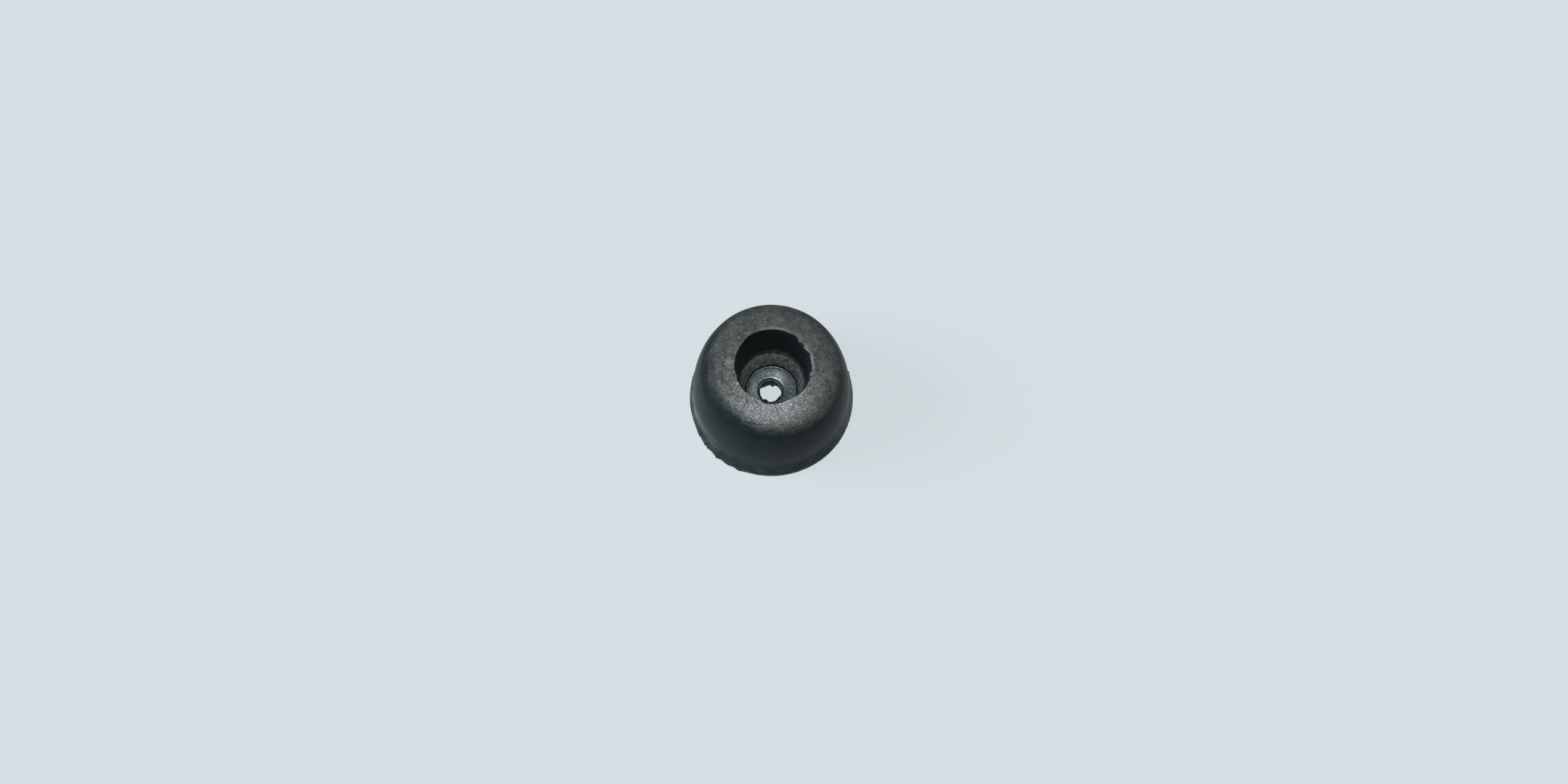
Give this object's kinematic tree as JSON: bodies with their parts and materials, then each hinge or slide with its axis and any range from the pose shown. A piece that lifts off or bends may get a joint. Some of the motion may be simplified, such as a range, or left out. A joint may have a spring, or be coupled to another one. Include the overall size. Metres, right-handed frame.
{
  "type": "rubber foot",
  "caption": "Tapered round rubber foot with a wide lipped base, a deep screw recess in its narrow end and a steel washer moulded into the recess floor.",
  "frame": {"origin": "centre of the wide mounting face, which is also the lowest face as the part stands", "axes": "+Z along the screw's axis, from the mounting face to the tread face with the recess; X and Y are free, because the part is round"},
  "size_m": [0.038, 0.038, 0.022],
  "materials": {
    "moulded_rubber": "moulded, worn to a grey grain on the tread",
    "washer_steel": "stamped, dull and darkened"
  },
  "bodies": {
    "root": {"rubber_body": "moulded_rubber", "steel_washer": "washer_steel"}
  },
  "joints": []
}
